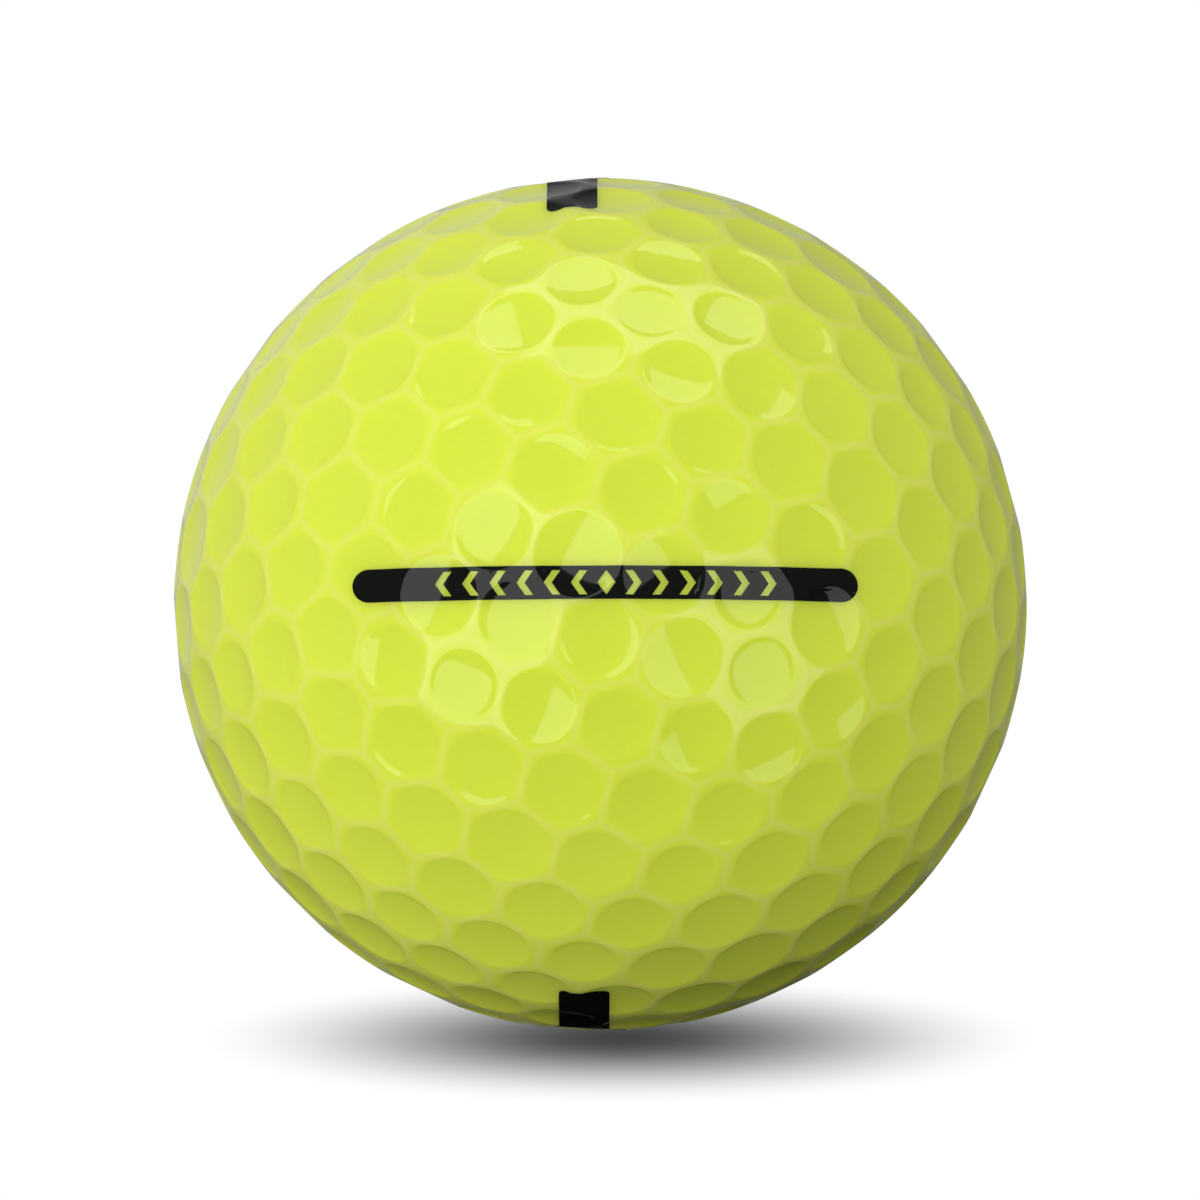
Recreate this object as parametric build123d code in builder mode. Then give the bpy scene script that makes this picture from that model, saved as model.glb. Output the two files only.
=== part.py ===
from build123d import *
from itertools import combinations
from math import acos, atan, cos, degrees, radians, sin, sqrt
import os

# A two-piece distance golf ball: a solid rubber core, a moulded dimpled cover,
# and pad-printed ink marks. Millimetres, +Z up, origin at the ball's centre,
# -Y towards the side that carries the alignment bar.

# ---- driving dimensions ----
ball_diameter = 42.67
cover_thickness = 1.9
dimple_depth = 0.25  # below the ball's full sphere, at the middle of a dimple
cutter_lip = 0.05  # how far a dimple cutter runs on past the rim that it leaves
cutter_height = 0.3  # how far a dimple cutter stands out of the ball

# The dimples sit on an icosahedron whose edges are divided into this many steps.
steps_per_edge = 6

# Rim diameter of each kind of dimple, by how its steps are shared out between
# the three corners of its triangle, the largest share first.
dimple_diameters = {
    (6, 0, 0): 3.6,
    (5, 1, 0): 3.6,
    (4, 2, 0): 3.6,
    (3, 3, 0): 3.7,
    (4, 1, 1): 3.9,
    (3, 2, 1): 3.95,
    (2, 2, 2): 4.3,
}

# How the dimple pattern lies in the ball, as turns about Z, the new X and the new Z.
pattern_turn = 9.9
pattern_tilt = 41.5
pattern_spin = -3.1

# Printed marks
ink_thickness = 0.03
bar_length = 24.7
bar_height = 1.63
bar_elevation = 8.95  # degrees above the horizon that the bar's middle faces
bar_azimuth = 0.8  # degrees to the right of straight ahead
chevron_count = 6  # on each side of the diamond in the middle
chevron_pitch = 1.32
chevron_height = 1.2
chevron_stroke = 0.4
chevron_reach = 0.42
diamond_width = 0.9

pole_lean = 7.6  # degrees that the axis through the two pole marks leans back
pole_mark_length = 17.2
pole_mark_width = 2.5
pole_mark_corner = 0.45
pole_mark_gap = 0.7  # from a bar to the number between the two bars
top_mark_shift = -1.4
bottom_mark_shift = -0.8
number_height = 4.2
number_stroke = 0.9
number_flag = 0.75

# ---- worked out ----
ball_radius = ball_diameter / 2
core_radius = ball_radius - cover_thickness


def on_sphere(latitude, longitude):
    lat = radians(latitude)
    lon = radians(longitude)
    return Vector(cos(lat) * cos(lon), cos(lat) * sin(lon), sin(lat))


def along_arc(start, end, share):
    """The point that lies a share of the way along the great circle between two points."""
    angle = acos(start.dot(end))
    return start * (sin((1 - share) * angle) / sin(angle)) + end * (sin(share * angle) / sin(angle))


def icosahedron_corners():
    ring_latitude = degrees(atan(0.5))
    corners = [on_sphere(90, 0), on_sphere(-90, 0)]
    for k in range(5):
        corners.append(on_sphere(ring_latitude, 72 * k))
        corners.append(on_sphere(-ring_latitude, 72 * k + 36))
    return corners


def seen_from_corner(corner, left, right, steps, left_steps, right_steps):
    """The lattice point some steps down from a corner, on the row between two edges."""
    share = steps / steps_per_edge
    row_start = along_arc(corner, left, share)
    row_end = along_arc(corner, right, share)
    return along_arc(row_start, row_end, right_steps / (left_steps + right_steps))


def dimple_directions():
    """Unit vectors to the dimples' middles, grouped by kind."""
    kinds = {kind: [] for kind in dimple_diameters}
    corners = icosahedron_corners()
    side = 1 / sqrt(5) - 0.01  # neighbouring corners have a dot product of 1/sqrt(5)
    kinds[(steps_per_edge, 0, 0)] = list(corners)
    for a, b in combinations(corners, 2):
        if a.dot(b) > side:
            for i in range(1, steps_per_edge):
                kind = tuple(sorted((i, steps_per_edge - i, 0), reverse=True))
                kinds[kind].append(along_arc(a, b, i / steps_per_edge))
    for a, b, c in combinations(corners, 3):
        if min(a.dot(b), b.dot(c), c.dot(a)) > side:
            for i in range(1, steps_per_edge - 1):
                for j in range(1, steps_per_edge - i):
                    k = steps_per_edge - i - j
                    # a row can be counted from any corner, so the three are averaged
                    middle = (
                        seen_from_corner(a, b, c, j + k, j, k)
                        + seen_from_corner(b, c, a, k + i, k, i)
                        + seen_from_corner(c, a, b, i + j, i, j)
                    )
                    kind = tuple(sorted((i, j, k), reverse=True))
                    kinds[kind].append(middle.normalized())
    return kinds


def turned(direction):
    """A direction of the pattern, as the pattern lies in the ball."""
    spun = direction.rotate(Axis.Z, pattern_spin)
    tilted = spun.rotate(Axis.X, pattern_tilt)
    return tilted.rotate(Axis.Z, pattern_turn)


def bowl_radius(rim_diameter):
    """Radius of the sphere that leaves a dimple of this rim diameter and the full depth."""
    half = rim_diameter / 2
    rim_drop = ball_radius - sqrt(ball_radius**2 - half**2)
    bowl_depth = dimple_depth - rim_drop
    return (half**2 + bowl_depth**2) / (2 * bowl_depth)


def dimple_cutter(rim_diameter, skin):
    """A lens that cuts one dimple, or the same dimple through a skin laid over the ball."""
    radius = bowl_radius(rim_diameter) - skin
    reach = rim_diameter / 2 + cutter_lip
    middle = bowl_radius(rim_diameter) - dimple_depth
    rim = middle - sqrt(radius**2 - reach**2)
    with BuildPart() as cutter:
        with BuildSketch(Plane.XZ):
            with BuildLine():
                RadiusArc((0, middle - radius), (reach, rim), -radius)
                Line((reach, rim), (reach, cutter_height))
                Line((reach, cutter_height), (0, cutter_height))
                Line((0, cutter_height), (0, middle - radius))
            make_face()
        revolve(axis=Axis.Z)
    return cutter.part


def dimpled_ball(skin):
    """The ball as one solid, grown all over by a skin's thickness."""
    with BuildPart() as ball:
        Sphere(ball_radius + skin)
        for kind, directions in dimple_directions().items():
            places = [turned(direction) for direction in directions]
            planes = [Plane(origin=place * ball_radius, z_dir=place) for place in places]
            with Locations(*planes):
                add(dimple_cutter(dimple_diameters[kind], skin), mode=Mode.SUBTRACT)
    return ball.part


bare_ball = dimpled_ball(0)
inked_ball = dimpled_ball(ink_thickness)

os.makedirs("parts", exist_ok=True)

# ---- core ----
with BuildPart() as core:
    Sphere(core_radius)
core.part.label = "core"
export_step(core.part, "parts/core.step")

# ---- cover: one moulded shell, bonded to the core all over ----
with BuildPart() as cover:
    add(bare_ball)
    Sphere(core_radius, mode=Mode.SUBTRACT)
cover.part.label = "cover"
export_step(cover.part, "parts/cover.step")

# ---- alignment bar: printed around the front, with a row of chevrons left open ----
bar_facing = on_sphere(bar_elevation, bar_azimuth - 90)
bar_plane = Plane(origin=(0, 0, 0), x_dir=Vector(0, 0, 1).cross(bar_facing), z_dir=bar_facing)
arm_start = -chevron_reach / 2
arm_end = chevron_reach / 2
half_stroke = chevron_stroke / 2
half_height = chevron_height / 2
chevron_points = [
    (arm_start - half_stroke, half_height),
    (arm_start + half_stroke, half_height),
    (arm_end + half_stroke, 0),
    (arm_start + half_stroke, -half_height),
    (arm_start - half_stroke, -half_height),
    (arm_end - half_stroke, 0),
]
diamond_points = [
    (-diamond_width / 2, 0),
    (0, -half_height),
    (diamond_width / 2, 0),
    (0, half_height),
]
with BuildPart() as alignment_bar:
    with BuildSketch(bar_plane):
        SlotOverall(bar_length, bar_height)
        Polygon(*diamond_points, align=None, mode=Mode.SUBTRACT)
        for i in range(1, chevron_count + 1):
            with Locations((i * chevron_pitch, 0)):
                Polygon(*chevron_points, align=None, mode=Mode.SUBTRACT)
            with Locations((-i * chevron_pitch, 0)):
                Polygon(*chevron_points, rotation=180, align=None, mode=Mode.SUBTRACT)
    extrude(amount=ball_diameter)
    add(inked_ball, mode=Mode.INTERSECT)
    add(bare_ball, mode=Mode.SUBTRACT)
alignment_bar.part.label = "alignment_bar"
export_step(alignment_bar.part, "parts/alignment_bar.step")

# ---- pole marks: two plain bars with the ball's number between them ----
number_width = number_stroke + 2 * number_flag
bar_run = (pole_mark_length - number_width - 2 * pole_mark_gap) / 2
bar_middle = (pole_mark_length - bar_run) / 2
half_number = number_height / 2


def pole_mark(name, up, shift):
    """A mark over one pole. Its bars run from front to back, and its number reads from the side."""
    facing = up.rotate(Axis.X, -pole_lean)
    plane = Plane(origin=(0, 0, 0), x_dir=facing.cross(Vector(1, 0, 0)), z_dir=facing)
    side = -shift  # at either pole, the plane's own Y runs towards -X
    with BuildPart() as mark:
        with BuildSketch(plane):
            with Locations((bar_middle, side), (-bar_middle, side)):
                RectangleRounded(bar_run, pole_mark_width, pole_mark_corner)
            with Locations((0, side)):
                Rectangle(number_stroke, number_height)
                with Locations((0, (number_stroke - number_height) / 2)):
                    Rectangle(number_width, number_stroke)
                Polygon(
                    (0, half_number),
                    (-number_stroke / 2 - number_flag, half_number - number_flag),
                    (-number_stroke / 2, half_number - number_flag - number_stroke),
                    align=None,
                )
        extrude(amount=ball_diameter)
        add(inked_ball, mode=Mode.INTERSECT)
        add(bare_ball, mode=Mode.SUBTRACT)
    mark.part.label = name
    export_step(mark.part, f"parts/{name}.step")


pole_mark("pole_mark_top", Vector(0, 0, 1), top_mark_shift)
pole_mark("pole_mark_bottom", Vector(0, 0, -1), bottom_mark_shift)
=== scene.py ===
from itertools import combinations
from math import atan, cos, degrees, pi, radians, sin, sqrt

import bmesh
import bpy
from mathutils import Matrix, Vector
from mathutils.kdtree import KDTree


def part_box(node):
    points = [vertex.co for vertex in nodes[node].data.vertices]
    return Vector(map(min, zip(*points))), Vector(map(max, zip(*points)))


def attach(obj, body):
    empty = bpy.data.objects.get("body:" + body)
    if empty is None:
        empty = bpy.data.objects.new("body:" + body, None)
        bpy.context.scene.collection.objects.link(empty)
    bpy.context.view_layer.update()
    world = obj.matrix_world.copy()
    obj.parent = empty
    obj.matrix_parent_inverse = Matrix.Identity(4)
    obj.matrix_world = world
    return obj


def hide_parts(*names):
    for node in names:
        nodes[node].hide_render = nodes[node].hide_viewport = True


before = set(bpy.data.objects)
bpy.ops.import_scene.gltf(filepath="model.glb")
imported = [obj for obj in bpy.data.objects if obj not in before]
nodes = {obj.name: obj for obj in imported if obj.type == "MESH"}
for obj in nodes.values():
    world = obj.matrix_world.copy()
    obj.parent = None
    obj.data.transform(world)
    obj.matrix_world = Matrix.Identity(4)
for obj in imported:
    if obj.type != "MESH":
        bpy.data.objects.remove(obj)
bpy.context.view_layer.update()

mm = 0.001


def widest(node):
    low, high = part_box(node)
    return max(high - low)


ballRadius = widest("cover") / 2
coreRadius = widest("core") / 2


def selectOnly(piece):
    bpy.ops.object.select_all(action="DESELECT")
    piece.select_set(True)
    bpy.context.view_layer.objects.active = piece


def onSphere(latitude, longitude):
    lat = radians(latitude)
    lon = radians(longitude)
    return Vector((cos(lat) * cos(lon), cos(lat) * sin(lon), sin(lat)))


# Dimple pattern: an icosahedron with every edge in six steps, so 362 dimples.
# A dimple's kind says how its steps are shared between the corners of its triangle.
pattern = {
    "steps": 6,
    "spin": radians(-3.1),
    "tilt": radians(41.5),
    "turn": radians(9.9),
    "diameters": {
        (6, 0, 0): 3.6 * mm,
        (5, 1, 0): 3.6 * mm,
        (4, 2, 0): 3.6 * mm,
        (3, 3, 0): 3.7 * mm,
        (4, 1, 1): 3.9 * mm,
        (3, 2, 1): 3.95 * mm,
        (2, 2, 2): 4.3 * mm,
    },
}


def icosahedronCorners():
    corners = [onSphere(90, 0), onSphere(-90, 0)]
    ringLatitude = degrees(atan(0.5))
    for k in range(5):
        corners.append(onSphere(ringLatitude, 72 * k))
        corners.append(onSphere(-ringLatitude, 72 * k + 36))
    return corners


# the point some steps down from a corner, on the row between its two edges
def seenFromCorner(corner, left, right, leftSteps, rightSteps):
    down = leftSteps + rightSteps
    rowStart = corner.slerp(left, down / pattern["steps"])
    rowEnd = corner.slerp(right, down / pattern["steps"])
    return rowStart.slerp(rowEnd, rightSteps / down)


def dimplePlaces():
    steps = pattern["steps"]
    corners = icosahedronCorners()
    side = 1 / sqrt(5) - 0.01  # neighbouring corners have a dot product of 1/sqrt(5)
    found = [(corner, (steps, 0, 0)) for corner in corners]
    for a, b in combinations(corners, 2):
        if a.dot(b) > side:
            found += [(a.slerp(b, i / steps), (steps - i, i, 0)) for i in range(1, steps)]
    for a, b, c in combinations(corners, 3):
        if min(a.dot(b), b.dot(c), c.dot(a)) > side:
            for i in range(1, steps - 1):
                for j in range(1, steps - i):
                    k = steps - i - j
                    middle = seenFromCorner(a, b, c, j, k)
                    middle += seenFromCorner(b, c, a, k, i)
                    middle += seenFromCorner(c, a, b, i, j)
                    found.append((middle.normalized(), (i, j, k)))
    lay = (
        Matrix.Rotation(pattern["turn"], 3, "Z")
        @ Matrix.Rotation(pattern["tilt"], 3, "X")
        @ Matrix.Rotation(pattern["spin"], 3, "Z")
    )
    sizes = pattern["diameters"]
    return [(lay @ place, sizes[tuple(sorted(kind, reverse=True))]) for place, kind in found]


# Cover: moulded ionomer. Each dimple is a shallow bowl with a steeper flank round it.
cover = {
    "sideCuts": 5,  # in each side of a dimple's cell, so that a six-sided one has 36 edges
    "landEdge": 0.1 * mm,  # outside the rim, where the land begins to roll over
    # how far inside the rim, and the slope down towards the middle there
    "flank": ((0, 0.08), (0.1 * mm, 0.26), (0.24 * mm, 0.22), (0.4 * mm, 0.09)),
    "bowlRing": 0.5,  # one more ring, as a share of the bowl's radius
    "neighbours": 4,  # at a cell's corner three dimples meet, and one more is near
    "firstInset": 0.01 * mm,  # before its corners are drawn on to a circle
    "innerWall": 4,  # subdivisions of the wall against the core
}


# radius and height of each ring of a dimple, from the land to the middle
def dimpleRings(diameter):
    radius = diameter / 2 + cover["landEdge"]
    height = sqrt(ballRadius**2 - radius**2) - ballRadius
    slope = -radius / ballRadius
    rings = [(radius, height)]
    steps = [(diameter / 2 - inside, down) for inside, down in cover["flank"]]
    bowl, bowlSlope = steps[-1]
    steps += [(bowl * cover["bowlRing"], bowlSlope * cover["bowlRing"]), (0, 0)]
    for nextRadius, nextSlope in steps:
        height -= (radius - nextRadius) * (slope + nextSlope) / 2
        radius = nextRadius
        slope = nextSlope
        rings.append((radius, height))
    return rings


# a closed mesh around loose points
def hullAround(name, points):
    mesh = bpy.data.meshes.new(name)
    mesh.from_pydata(points, [], [])
    piece = bpy.data.objects.new(name, mesh)
    bpy.context.collection.objects.link(piece)
    selectOnly(piece)
    bpy.ops.object.mode_set(mode="EDIT")
    bpy.ops.mesh.select_all(action="SELECT")
    bpy.ops.mesh.convex_hull(join_triangles=False)
    bpy.ops.object.mode_set(mode="OBJECT")
    return piece


# A dimple's pole stands over its middle. Two dimples' cells meet in the middle of the land
# between their rims, where both poles are as far along the surface's normal.
def dimplePoles(places):
    poles = []
    for place, diameter in places:
        radius, height = dimpleRings(diameter)[0]
        poles.append(place * ballRadius / (ballRadius + height))
    return poles


def cellCorners(poles):
    net = hullAround("net", poles)
    corners = []
    for face in net.data.polygons:
        a, b, c = [net.data.vertices[i].co for i in face.vertices]
        corner = (b - a).cross(c - a).normalized()
        corners.append(corner * ballRadius * (1 if corner.dot(a) > 0 else -1))
    bpy.data.objects.remove(net)
    return corners


def selectEdgesInsideCells(middles):
    mesh = bmesh.from_edit_mesh(bpy.context.edit_object.data)
    cell = {face: middles.find(face.calc_center_median().normalized())[1] for face in mesh.faces}
    bpy.ops.mesh.select_all(action="DESELECT")
    for edge in mesh.edges:
        first, second = edge.link_faces
        edge.select_set(cell[first] == cell[second])
    bmesh.update_edit_mesh(bpy.context.edit_object.data)


def selectCells(middles, places, diameter):
    mesh = bmesh.from_edit_mesh(bpy.context.edit_object.data)
    for face in mesh.faces:
        place = middles.find(face.calc_center_median().normalized())
        face.select_set(len(face.verts) > 4 and places[place[1]][1] == diameter)
    bmesh.update_edit_mesh(bpy.context.edit_object.data)


# draws the corners of each selected face on to its dimple's first ring
def makeRound(middles, ring):
    radius, height = ring
    mesh = bmesh.from_edit_mesh(bpy.context.edit_object.data)
    for face in mesh.faces:
        if face.select:
            axis = middles.find(face.calc_center_median().normalized())[0]
            for corner in face.verts:
                outwards = (corner.co - axis * corner.co.dot(axis)).normalized()
                corner.co = axis * (ballRadius + height) + outwards * radius
    bmesh.update_edit_mesh(bpy.context.edit_object.data)


# how far each point is from the middle of the land, which the painted sheen along the land is drawn
# from
def measureLand(shell, middles, poles):
    distances = shell.data.attributes.new("fromLandMiddle", "FLOAT", "POINT")
    for point, distance in zip(shell.data.vertices, distances.data):
        nearest = middles.find_n(point.co.normalized(), cover["neighbours"])
        near = [poles[i] for place, i, gap in nearest]
        own = max(near, key=point.co.dot)
        distance.value = min(
            point.co.dot(own - other) / (own - other).length for other in near if other != own
        )


def makeCover():
    places = dimplePlaces()
    poles = dimplePoles(places)
    middles = KDTree(len(places))
    for i, (place, diameter) in enumerate(places):
        middles.insert(place, i)
    middles.balance()
    shell = hullAround("cover_shell", cellCorners(poles))
    bpy.ops.object.mode_set(mode="EDIT")
    bpy.ops.mesh.select_mode(type="EDGE")
    selectEdgesInsideCells(middles)
    bpy.ops.mesh.dissolve_edges(use_verts=False)
    bpy.ops.mesh.select_all(action="SELECT")
    bpy.ops.mesh.normals_make_consistent(inside=False)
    bpy.ops.mesh.subdivide(number_cuts=cover["sideCuts"])
    bpy.ops.object.mode_set(mode="OBJECT")
    swell = shell.modifiers.new("swell", "CAST")
    swell.factor = 1
    swell.use_radius_as_size = False
    swell.size = ballRadius
    bpy.ops.object.modifier_apply(modifier=swell.name)
    bpy.ops.object.mode_set(mode="EDIT")
    bpy.ops.mesh.select_mode(type="FACE")
    for diameter in sorted(set(pattern["diameters"].values())):
        rings = dimpleRings(diameter)
        selectCells(middles, places, diameter)
        bpy.ops.mesh.inset(thickness=cover["firstInset"], use_individual=True)
        makeRound(middles, rings[0])
        for (radius, height), (nextRadius, nextHeight) in zip(rings[:-2], rings[1:-1]):
            bpy.ops.mesh.inset(
                thickness=radius - nextRadius, depth=nextHeight - height, use_individual=True
            )
        bpy.ops.mesh.poke(offset=rings[-1][1] - rings[-2][1])
    bpy.ops.mesh.select_all(action="DESELECT")
    bpy.ops.mesh.primitive_ico_sphere_add(subdivisions=cover["innerWall"], radius=coreRadius)
    bpy.ops.mesh.flip_normals()
    bpy.ops.object.mode_set(mode="OBJECT")
    bpy.ops.object.shade_smooth()
    measureLand(shell, middles, poles)
    return shell


# Marks: flat artwork that is wrapped on to the dimples, as a pad prints it
ink = {
    "cell": 0.16 * mm,  # how finely the artwork is cut, so that it follows the dimples
    "standOff": 2 * mm,
    "proud": 0.02 * mm,
    "thickness": 0.03 * mm,
    "arcPoints": 16,  # in a rounded end
    "join": 0.001 * mm,  # corners closer than this are one
}
bar = {
    "length": 24.7 * mm,
    "height": 1.63 * mm,
    "elevation": 8.95,
    "azimuth": 0.8,
    "chevrons": 6,  # on each side of the diamond
    "pitch": 1.32 * mm,
    "chevronHeight": 1.2 * mm,
    "stroke": 0.4 * mm,
    "reach": 0.42 * mm,
    "diamond": 0.9 * mm,
}
poleMark = {
    "lean": 7.6,
    "length": 17.2 * mm,
    "width": 2.5 * mm,
    "corner": 0.45 * mm,
    "gap": 0.7 * mm,
    "topShift": -1.4 * mm,
    "bottomShift": -0.8 * mm,
    "numberHeight": 4.2 * mm,
    "numberStroke": 0.9 * mm,
    "numberFlag": 0.75 * mm,
}


# a rectangle with rounded corners, as a loop of points
def roundedLoop(middleX, middleY, width, height, corner):
    loop = []
    for quarter, (sx, sy) in enumerate(((1, 1), (-1, 1), (-1, -1), (1, -1))):
        for i in range(ink["arcPoints"] + 1):
            angle = (quarter + i / ink["arcPoints"]) * pi / 2
            x = middleX + sx * (width / 2 - corner) + corner * cos(angle)
            y = middleY + sy * (height / 2 - corner) + corner * sin(angle)
            loop.append((x, y))
    return loop


# a flat curve fills between its loops, and leaves a loop inside another open
def flatArtwork(name, loops):
    curve = bpy.data.curves.new(name, "CURVE")
    curve.dimensions = "2D"
    curve.fill_mode = "BOTH"
    for loop in loops:
        spline = curve.splines.new("POLY")
        spline.points.add(len(loop) - 1)
        for point, (x, y) in zip(spline.points, loop):
            point.co = (x, y, 0, 1)
        spline.use_cyclic_u = True
    piece = bpy.data.objects.new(name, curve)
    bpy.context.collection.objects.link(piece)
    selectOnly(piece)
    bpy.ops.object.convert(target="MESH")
    return bpy.context.object


def cutIntoCells(piece):
    low = Vector(piece.bound_box[0])
    high = Vector(piece.bound_box[6])
    bpy.ops.object.mode_set(mode="EDIT")
    bpy.ops.mesh.select_all(action="SELECT")
    bpy.ops.mesh.remove_doubles(threshold=ink["join"])
    for normal, start, end in (((1, 0, 0), low.x, high.x), ((0, 1, 0), low.y, high.y)):
        cuts = int((end - start) / ink["cell"])
        for i in range(1, cuts):
            offset = start + (end - start) * i / cuts
            bpy.ops.mesh.select_all(action="SELECT")
            bpy.ops.mesh.bisect(plane_co=Vector(normal) * offset, plane_no=normal)
    bpy.ops.object.mode_set(mode="OBJECT")


# facing is the way that the pad comes from, and across is the artwork's own X
def printOn(shell, name, loops, facing, across):
    piece = flatArtwork(name, loops)
    cutIntoCells(piece)
    upwards = facing.cross(across)
    piece.matrix_world = Matrix.Translation(facing * (ballRadius + ink["standOff"])) @ Matrix(
        (across, upwards, facing)
    ).transposed().to_4x4()
    wrap = piece.modifiers.new("wrap", "SHRINKWRAP")
    wrap.target = shell
    wrap.wrap_method = "PROJECT"
    wrap.wrap_mode = "ABOVE_SURFACE"
    wrap.use_project_z = True
    wrap.use_negative_direction = True
    wrap.use_positive_direction = False
    wrap.offset = ink["proud"]
    bpy.ops.object.modifier_apply(modifier=wrap.name)
    film = piece.modifiers.new("film", "SOLIDIFY")
    film.thickness = ink["thickness"]
    film.offset = -1
    bpy.ops.object.modifier_apply(modifier=film.name)
    bpy.ops.object.transform_apply(location=True, rotation=True, scale=True)
    bpy.ops.object.shade_smooth()
    # the film shines as the skin under it does, so it takes the skin's smooth normals
    sheen = piece.modifiers.new("sheen", "DATA_TRANSFER")
    sheen.object = shell
    sheen.use_loop_data = True
    sheen.data_types_loops = {"CUSTOM_NORMAL"}
    sheen.loop_mapping = "POLYINTERP_NEAREST"
    bpy.ops.object.modifier_apply(modifier=sheen.name)
    return piece


def barLoops():
    loops = [roundedLoop(0, 0, bar["length"], bar["height"], bar["height"] / 2)]
    tall = bar["chevronHeight"] / 2
    wide = bar["diamond"] / 2
    half = bar["stroke"] / 2
    arm = bar["reach"] / 2
    loops.append([(-wide, 0), (0, -tall), (wide, 0), (0, tall)])
    chevron = [
        (-arm - half, tall),
        (-arm + half, tall),
        (arm + half, 0),
        (-arm + half, -tall),
        (-arm - half, -tall),
        (arm - half, 0),
    ]
    for i in range(1, bar["chevrons"] + 1):
        for side in (-1, 1):
            loops.append([(side * (i * bar["pitch"] + x), y) for x, y in chevron])
    return loops


def poleLoops(shift):
    stroke = poleMark["numberStroke"]
    flag = poleMark["numberFlag"]
    tall = poleMark["numberHeight"] / 2
    numberWidth = stroke + 2 * flag
    run = (poleMark["length"] - numberWidth - 2 * poleMark["gap"]) / 2
    middle = (poleMark["length"] - run) / 2
    loops = [
        roundedLoop(side * middle, -shift, run, poleMark["width"], poleMark["corner"])
        for side in (-1, 1)
    ]
    number = [
        (-numberWidth / 2, -tall),
        (numberWidth / 2, -tall),
        (numberWidth / 2, stroke - tall),
        (stroke / 2, stroke - tall),
        (stroke / 2, tall),
        (0, tall),
        (-stroke / 2 - flag, tall - flag),
        (-stroke / 2, tall - flag - stroke),
        (-stroke / 2, stroke - tall),
        (-numberWidth / 2, stroke - tall),
    ]
    loops.append([(x, y - shift) for x, y in number])
    return loops


def makeMarks(shell):
    facing = onSphere(bar["elevation"], bar["azimuth"] - 90)
    across = Vector((0, 0, 1)).cross(facing).normalized()
    marks = [printOn(shell, "bar_print", barLoops(), facing, across)]
    lean = Matrix.Rotation(radians(-poleMark["lean"]), 3, "X")
    for name, up, shift in (
        ("top_print", Vector((0, 0, 1)), poleMark["topShift"]),
        ("bottom_print", Vector((0, 0, -1)), poleMark["bottomShift"]),
    ):
        facing = lean @ up
        across = facing.cross(Vector((1, 0, 0))).normalized()
        marks.append(printOn(shell, name, poleLoops(shift), facing, across))
    return marks


def linear(hexColour):
    channels = []
    for i in (1, 3, 5):
        value = int(hexColour[i:i + 2], 16) / 255
        channels.append(value / 12.92 if value <= 0.04045 else ((value + 0.055) / 1.055) ** 2.4)
    return (*channels, 1)


def newTree(name):
    material = bpy.data.materials.new(name)
    material.use_nodes = True
    material.node_tree.nodes.clear()
    return material, material.node_tree


# adds a node, sets its properties or sockets, and links its inputs
def addNode(tree, kind, settings=None, links=None):
    node = tree.nodes.new(kind)
    for key, value in (settings or {}).items():
        if isinstance(key, int) or key in node.inputs:
            node.inputs[key].default_value = value
        else:
            setattr(node, key, value)
    for key, socket in (links or {}).items():
        tree.links.new(socket, node.inputs[key])
    return node


# Ionomer, injection moulded, with yellow pigment all through and a clear urethane coat:
# a soft even glow from just under the skin, and hard small reflections on top. Along the middle
# of the land between the dimples the colour is paler: a painted sheen for the shine on the crests.
coverPaint = {
    "body": "#E6F652",
    "deep": "#DFF04A",
    # painted sheen: land is the paler colour painted along the middle of the land, for the shine on
    # the crests
    "land": "#EAF56A",
    "landSheenLine": (0, 0.32 * mm),  # from its middle, where the pale line starts to fade and ends
    "cloudSize": 5 * mm,
    "peelSize": 0.9 * mm,
    "peelHeight": 0.0012 * mm,
    "grainSize": 0.12 * mm,
    "grainHeight": 0.0002 * mm,
}


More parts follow.
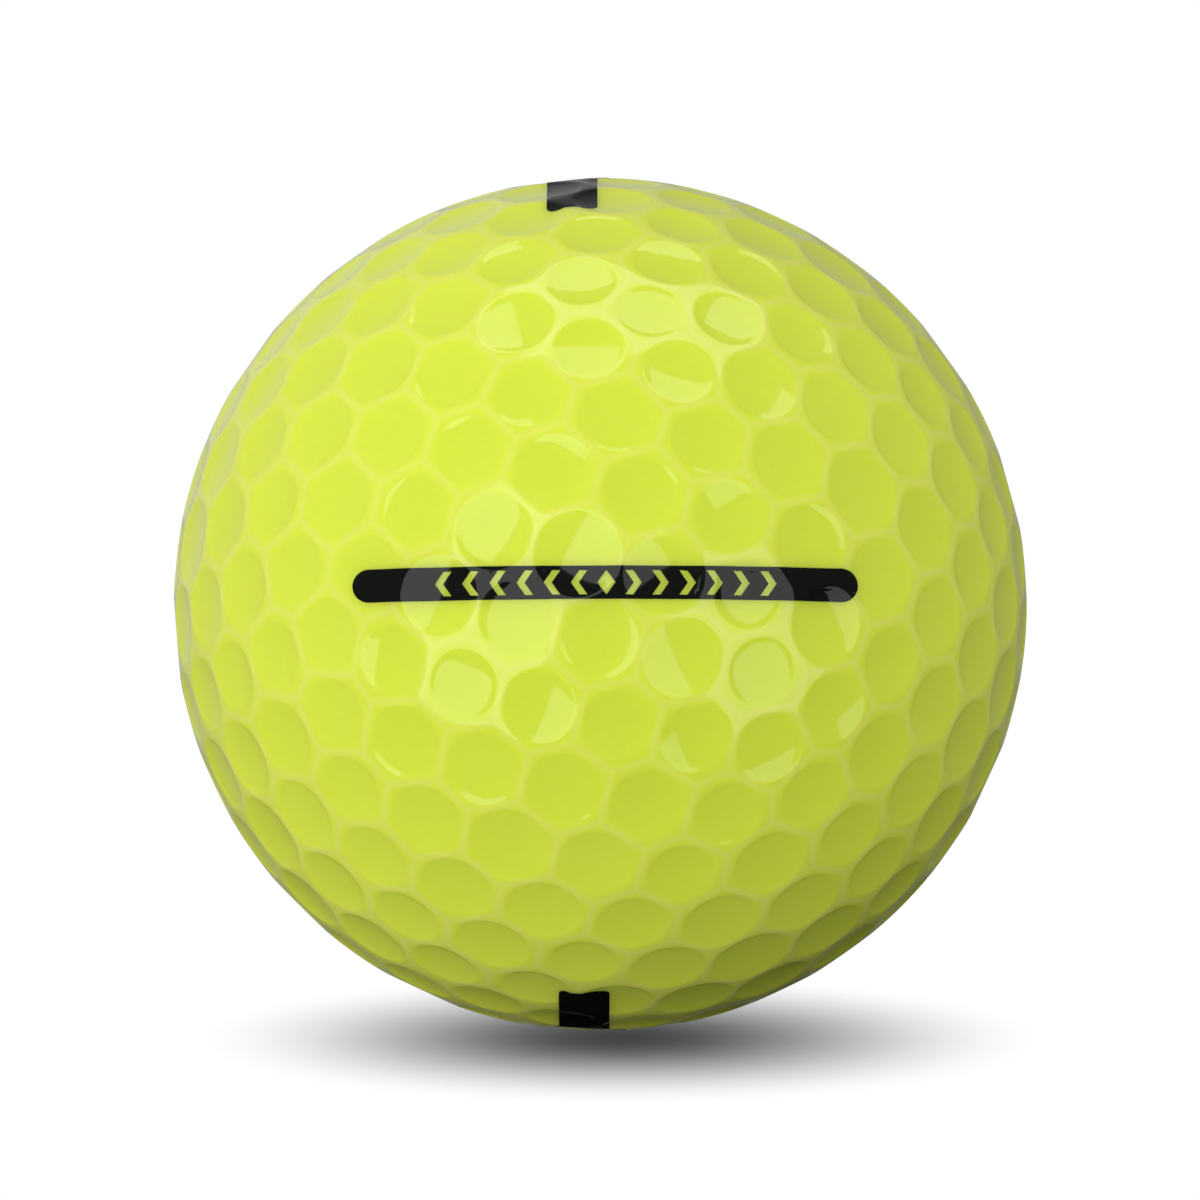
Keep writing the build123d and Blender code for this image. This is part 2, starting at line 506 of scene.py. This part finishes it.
def coverMaterial():
    material, tree = newTree("yellow ionomer, moulded and clear coated")
    place = addNode(tree, "ShaderNodeTexCoord").outputs["Object"]
    clouds = addNode(
        tree,
        "ShaderNodeTexNoise",
        {"Scale": 1 / coverPaint["cloudSize"], "Detail": 3.0, "Roughness": 0.55},
        {"Vector": place},
    )
    body = addNode(
        tree,
        "ShaderNodeMix",
        {"data_type": "RGBA", 6: linear(coverPaint["deep"]), 7: linear(coverPaint["body"])},
        {0: clouds.outputs["Fac"]},
    )
    # painted sheen: the colour turns paler along the middle of the land and fades out towards the
    # rims
    fromMiddle = addNode(tree, "ShaderNodeAttribute", {"attribute_name": "fromLandMiddle"})
    lineEdge, lineEnd = coverPaint["landSheenLine"]
    sheenOnLand = addNode(
        tree,
        "ShaderNodeMapRange",
        {"From Min": lineEdge, "From Max": lineEnd, "To Min": 1.0, "To Max": 0.0},
        {"Value": fromMiddle.outputs["Fac"]},
    )
    colour = addNode(
        tree,
        "ShaderNodeMix",
        {"data_type": "RGBA", 7: linear(coverPaint["land"])},
        {0: sheenOnLand.outputs["Result"], 6: body.outputs[2]},
    )
    peel = addNode(
        tree,
        "ShaderNodeTexNoise",
        {"Scale": 1 / coverPaint["peelSize"], "Detail": 2.0},
        {"Vector": place},
    )
    peelBump = addNode(
        tree,
        "ShaderNodeBump",
        {"Strength": 1.0, "Distance": coverPaint["peelHeight"]},
        {"Height": peel.outputs["Fac"]},
    )
    grain = addNode(
        tree,
        "ShaderNodeTexNoise",
        {"Scale": 1 / coverPaint["grainSize"], "Detail": 2.0},
        {"Vector": place},
    )
    grainBump = addNode(
        tree,
        "ShaderNodeBump",
        {"Strength": 1.0, "Distance": coverPaint["grainHeight"]},
        {"Height": grain.outputs["Fac"], "Normal": peelBump.outputs["Normal"]},
    )
    shader = addNode(
        tree,
        "ShaderNodeBsdfPrincipled",
        {
            "Roughness": 0.3,
            "IOR": 1.51,
            "Specular IOR Level": 0.0,  # the coat over it is as dense, so only the coat shines
            "Subsurface Weight": 0.9,
            "Subsurface Radius": (1.0, 0.9, 0.25),
            "Subsurface Scale": 1.8 * mm,
            "Coat Weight": 1.0,
            "Coat Roughness": 0.06,
            "Coat IOR": 1.5,
        },
        {"Base Color": colour.outputs[2], "Coat Normal": grainBump.outputs["Normal"]},
    )
    addNode(tree, "ShaderNodeOutputMaterial", {}, {"Surface": shader.outputs[0]})
    return material


# Two-part epoxy ink, pad printed and clear coated: nearly black, very slightly uneven in
# density, with the coat's own hard shine.
inkPaint = {"full": "#0A0A0B", "thin": "#161712", "grain": 0.25 * mm}


def inkMaterial():
    material, tree = newTree("black epoxy ink, pad printed")
    place = addNode(tree, "ShaderNodeTexCoord").outputs["Object"]
    grain = addNode(
        tree,
        "ShaderNodeTexNoise",
        {"Scale": 1 / inkPaint["grain"], "Detail": 4.0, "Roughness": 0.6},
        {"Vector": place},
    )
    colour = addNode(
        tree,
        "ShaderNodeMix",
        {"data_type": "RGBA", 6: linear(inkPaint["full"]), 7: linear(inkPaint["thin"])},
        {0: grain.outputs["Fac"]},
    )
    shader = addNode(
        tree,
        "ShaderNodeBsdfPrincipled",
        {
            "Roughness": 0.4,
            "Specular IOR Level": 0.0,  # only the coat shines here too
            "Coat Weight": 0.7,
            "Coat Roughness": 0.045,
            "Coat IOR": 1.5,
        },
        {"Base Color": colour.outputs[2]},
    )
    addNode(tree, "ShaderNodeOutputMaterial", {}, {"Surface": shader.outputs[0]})
    return material


# Polybutadiene rubber, compression moulded: dull, and flecked with its filler.
corePaint = {"rubber": "#4A6A86", "fleck": "#2E4152", "fleckSize": 0.8 * mm}


def coreMaterial():
    material, tree = newTree("polybutadiene rubber, compression moulded")
    place = addNode(tree, "ShaderNodeTexCoord").outputs["Object"]
    flecks = addNode(
        tree, "ShaderNodeTexVoronoi", {"Scale": 1 / corePaint["fleckSize"]}, {"Vector": place}
    )
    edge = addNode(
        tree,
        "ShaderNodeMapRange",
        {"From Min": 0.1, "From Max": 0.3},
        {"Value": flecks.outputs["Distance"]},
    )
    colour = addNode(
        tree,
        "ShaderNodeMix",
        {"data_type": "RGBA", 6: linear(corePaint["fleck"]), 7: linear(corePaint["rubber"])},
        {0: edge.outputs["Result"]},
    )
    shader = addNode(
        tree,
        "ShaderNodeBsdfPrincipled",
        {"Roughness": 0.75, "IOR": 1.52},
        {"Base Color": colour.outputs[2]},
    )
    addNode(tree, "ShaderNodeOutputMaterial", {}, {"Surface": shader.outputs[0]})
    return material


camera = {
    "elevation": 6.0,
    "distance": 0.75,
    "ballShare": 0.7108,  # of the frame's width
    "aim": (-0.015 * mm, 0, 0.225 * mm),
}


# a direction given as the camera sees it: right, up and towards the camera
def seenFromCamera(right, up, near):
    tilt = radians(camera["elevation"])
    return Vector((right, up * sin(tilt) - near * cos(tilt), up * cos(tilt) + near * sin(tilt)))


def makeCamera():
    away = seenFromCamera(0, 0, 1)
    bpy.ops.object.camera_add(location=away * camera["distance"] + Vector(camera["aim"]))
    eye = bpy.context.object
    eye.rotation_euler = away.to_track_quat("Z", "Y").to_euler()
    edge = ballRadius / sqrt(camera["distance"] ** 2 - ballRadius**2)
    eye.data.lens = eye.data.sensor_width / 2 * camera["ballShare"] / edge
    bpy.context.scene.camera = eye


# Three softboxes that show in the shine. The tops of the two at the sides lean towards
# each other, by their roll in degrees.
softboxes = {
    "overhead": {
        "from": (0.11, 1.0, 0.08),
        "distance": 0.45,
        "size": (0.39, 0.25),
        "roll": 0,
        "radiance": 1.6,
    },
    "left": {
        "from": (-0.458, -0.03, 0.892),
        "distance": 0.5,
        "size": (0.3, 0.56),
        "roll": -23,
        "radiance": 1.8,
    },
    "right": {
        "from": (0.633, -0.14, 0.763),
        "distance": 0.5,
        "size": (0.29, 0.45),
        "roll": 25,
        "radiance": 1.5,
    },
}

# Broad soft fills behind crossed filters, which keep them out of the shine
fills = {
    "front": {"from": (-0.14, -0.03, 1), "narrowness": 6, "strength": 1.38},
    "left": {"from": (-0.85, 0.12, 0.4), "narrowness": 3, "strength": 0.98},
    "leftSide": {"from": (-1, -0.05, -0.1), "narrowness": 2, "strength": 0.48},
    "rightSide": {"from": (1, 0.1, -0.3), "narrowness": 2, "strength": 0.56},
}
# the even light in the room, and how bright the shine and the camera see it
room = {"even": 0.1, "shine": 0.1, "white": 1.0}
# a pale sheet behind and above the ball, which only the shine sees
backSheet = {
    "from": (-0.25, 0.3, -0.92),
    "narrowness": 8,
    "strength": 0.44,
    "foot": (-0.45, -0.1),  # how far down it fades out
}
# the floor's glow: bounce stands in for the light a lit floor sends up to the ball, and contact is
# the brightness left in the painted shadow's middle
floorGlow = {"size": 6.0, "bounce": 0.44, "contact": 0.06}  # contact is the shadow's middle
# Painted shadows under the ball, drawn into the floor's glow: their half widths, their middles, and
# how they fade to the edge.
# The seen one is a painted cast shadow; the one that darkens the glow sent up to the ball is wider,
# and lies away from the key side.
paintedShadows = {
    "seen": {"reach": (21.5 * mm, 24.5 * mm), "middle": (1 * mm, -4 * mm), "fade": 1.2},
    "cast": {"reach": (43 * mm, 36 * mm), "middle": (19 * mm, 0), "fade": 1.2},
}


def makeSoftbox(name, box):
    direction = seenFromCamera(*box["from"]).normalized()
    across = (Vector((1, 0, 0)) - direction * direction.x).normalized()
    width, height = box["size"]
    bpy.ops.object.light_add(type="AREA", location=direction * box["distance"])
    light = bpy.context.object
    light.name = name + "_softbox"
    stand = Matrix((across, direction.cross(across), direction)).transposed()
    light.rotation_euler = (stand @ Matrix.Rotation(radians(box["roll"]), 3, "Z")).to_euler()
    light.data.shape = "RECTANGLE"
    light.data.size = width
    light.data.size_y = height
    light.data.energy = box["radiance"] * pi * width * height
    light.visible_camera = False


# an even light with soft lobes added to it
def makeGlow(tree, even, lobes):
    way = addNode(tree, "ShaderNodeTexCoord").outputs["Generated"]
    total = addNode(tree, "ShaderNodeMath", {0: even, 1: 0.0}).outputs[0]
    for lobe in lobes:
        facing = addNode(
            tree,
            "ShaderNodeVectorMath",
            {"operation": "DOT_PRODUCT", 1: seenFromCamera(*lobe["from"]).normalized()},
            {0: way},
        )
        lit = addNode(
            tree, "ShaderNodeMath", {"operation": "MAXIMUM", 1: 0.0}, {0: facing.outputs["Value"]}
        )
        soft = addNode(
            tree,
            "ShaderNodeMath",
            {"operation": "POWER", 1: lobe["narrowness"]},
            {0: lit.outputs[0]},
        )
        total = addNode(
            tree,
            "ShaderNodeMath",
            {"operation": "MULTIPLY_ADD", 1: lobe["strength"]},
            {0: soft.outputs[0], 2: total},
        ).outputs[0]
    return total


def makeRoom():
    world = bpy.data.worlds.new("studio")
    bpy.context.scene.world = world
    world.use_nodes = True
    tree = world.node_tree
    tree.nodes.clear()
    filled = addNode(
        tree,
        "ShaderNodeBackground",
        {"Color": (1, 1, 1, 1)},
        {"Strength": makeGlow(tree, room["even"], fills.values())},
    )
    way = addNode(tree, "ShaderNodeTexCoord").outputs["Generated"]
    upwards = addNode(tree, "ShaderNodeSeparateXYZ", {}, {0: way}).outputs["Z"]
    fadeStart, fadeEnd = backSheet["foot"]
    aboveFoot = addNode(
        tree, "ShaderNodeMapRange", {"From Min": fadeStart, "From Max": fadeEnd}, {"Value": upwards}
    )
    sheetGlow = addNode(
        tree,
        "ShaderNodeMath",
        {"operation": "MULTIPLY"},
        {0: makeGlow(tree, room["shine"], [backSheet]), 1: aboveFoot.outputs["Result"]},
    )
    mirrored = addNode(
        tree, "ShaderNodeBackground", {"Color": (1, 1, 1, 1)}, {"Strength": sheetGlow.outputs[0]}
    )
    seen = addNode(
        tree, "ShaderNodeBackground", {"Color": (1, 1, 1, 1), "Strength": room["white"]}
    )
    ray = addNode(tree, "ShaderNodeLightPath")
    unseen = addNode(
        tree,
        "ShaderNodeMixShader",
        {},
        {0: ray.outputs["Is Glossy Ray"], 1: filled.outputs[0], 2: mirrored.outputs[0]},
    )
    chosen = addNode(
        tree,
        "ShaderNodeMixShader",
        {},
        {0: ray.outputs["Is Camera Ray"], 1: unseen.outputs[0], 2: seen.outputs[0]},
    )
    addNode(tree, "ShaderNodeOutputWorld", {}, {"Surface": chosen.outputs[0]})


# a glow that fades to a painted soft grey shadow where the ball stands
def glowWithPaintedShadow(tree, shadow, strength):
    place = addNode(tree, "ShaderNodeTexCoord").outputs["Object"]
    fromMiddle = addNode(
        tree,
        "ShaderNodeVectorMath",
        {"operation": "SUBTRACT", 1: (*shadow["middle"], 0)},
        {0: place},
    )
    share = addNode(
        tree,
        "ShaderNodeVectorMath",
        {"operation": "DIVIDE", 1: (*shadow["reach"], 1)},
        {0: fromMiddle.outputs[0]},
    )
    distance = addNode(
        tree, "ShaderNodeVectorMath", {"operation": "LENGTH"}, {0: share.outputs[0]}
    )
    faded = addNode(
        tree,
        "ShaderNodeMath",
        {"operation": "POWER", 1: shadow["fade"]},
        {0: distance.outputs["Value"]},
    )
    white = addNode(
        tree,
        "ShaderNodeMapRange",
        {"interpolation_type": "SMOOTHSTEP", "To Min": floorGlow["contact"]},
        {"Value": faded.outputs[0]},
    )
    return addNode(
        tree, "ShaderNodeEmission", {"Strength": strength}, {"Color": white.outputs["Result"]}
    )


# a white sheet that glows though it is no lamp: the camera sees it white with a painted shadow, and
# a dimmer glow with a wider painted shadow stands in for the light a lit floor sends up to the ball
def makeFloor():
    bpy.ops.mesh.primitive_plane_add(size=floorGlow["size"], location=(0, 0, -ballRadius))
    floor = bpy.context.object
    floor.name = "floor"
    material, tree = newTree("white studio floor, glowing, with a painted shadow")
    seen = glowWithPaintedShadow(tree, paintedShadows["seen"], room["white"])
    bounced = glowWithPaintedShadow(tree, paintedShadows["cast"], floorGlow["bounce"])
    ray = addNode(tree, "ShaderNodeLightPath")
    chosen = addNode(
        tree,
        "ShaderNodeMixShader",
        {},
        {0: ray.outputs["Is Camera Ray"], 1: bounced.outputs[0], 2: seen.outputs[0]},
    )
    addNode(tree, "ShaderNodeOutputMaterial", {}, {"Surface": chosen.outputs[0]})
    floor.data.materials.append(material)
    floor.visible_glossy = False  # matt, and the softboxes reach down past it in the shine


shell = makeCover()
shell.data.materials.append(coverMaterial())
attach(shell, "root")
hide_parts("cover")
print("cover:", len(shell.data.polygons), "faces")

inkBlack = inkMaterial()
for mark, node in zip(makeMarks(shell), ("alignment_bar", "pole_mark_top", "pole_mark_bottom")):
    mark.data.materials.append(inkBlack)
    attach(mark, "root")
    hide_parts(node)
    print(mark.name + ":", len(mark.data.polygons), "faces")

nodes["core"].data.materials.clear()
nodes["core"].data.materials.append(coreMaterial())
print("core: rubber")

makeFloor()
makeRoom()
for name, box in softboxes.items():
    makeSoftbox(name, box)
makeCamera()
bpy.context.scene.view_settings.view_transform = "Standard"
print("studio: floor, room, softboxes and camera")
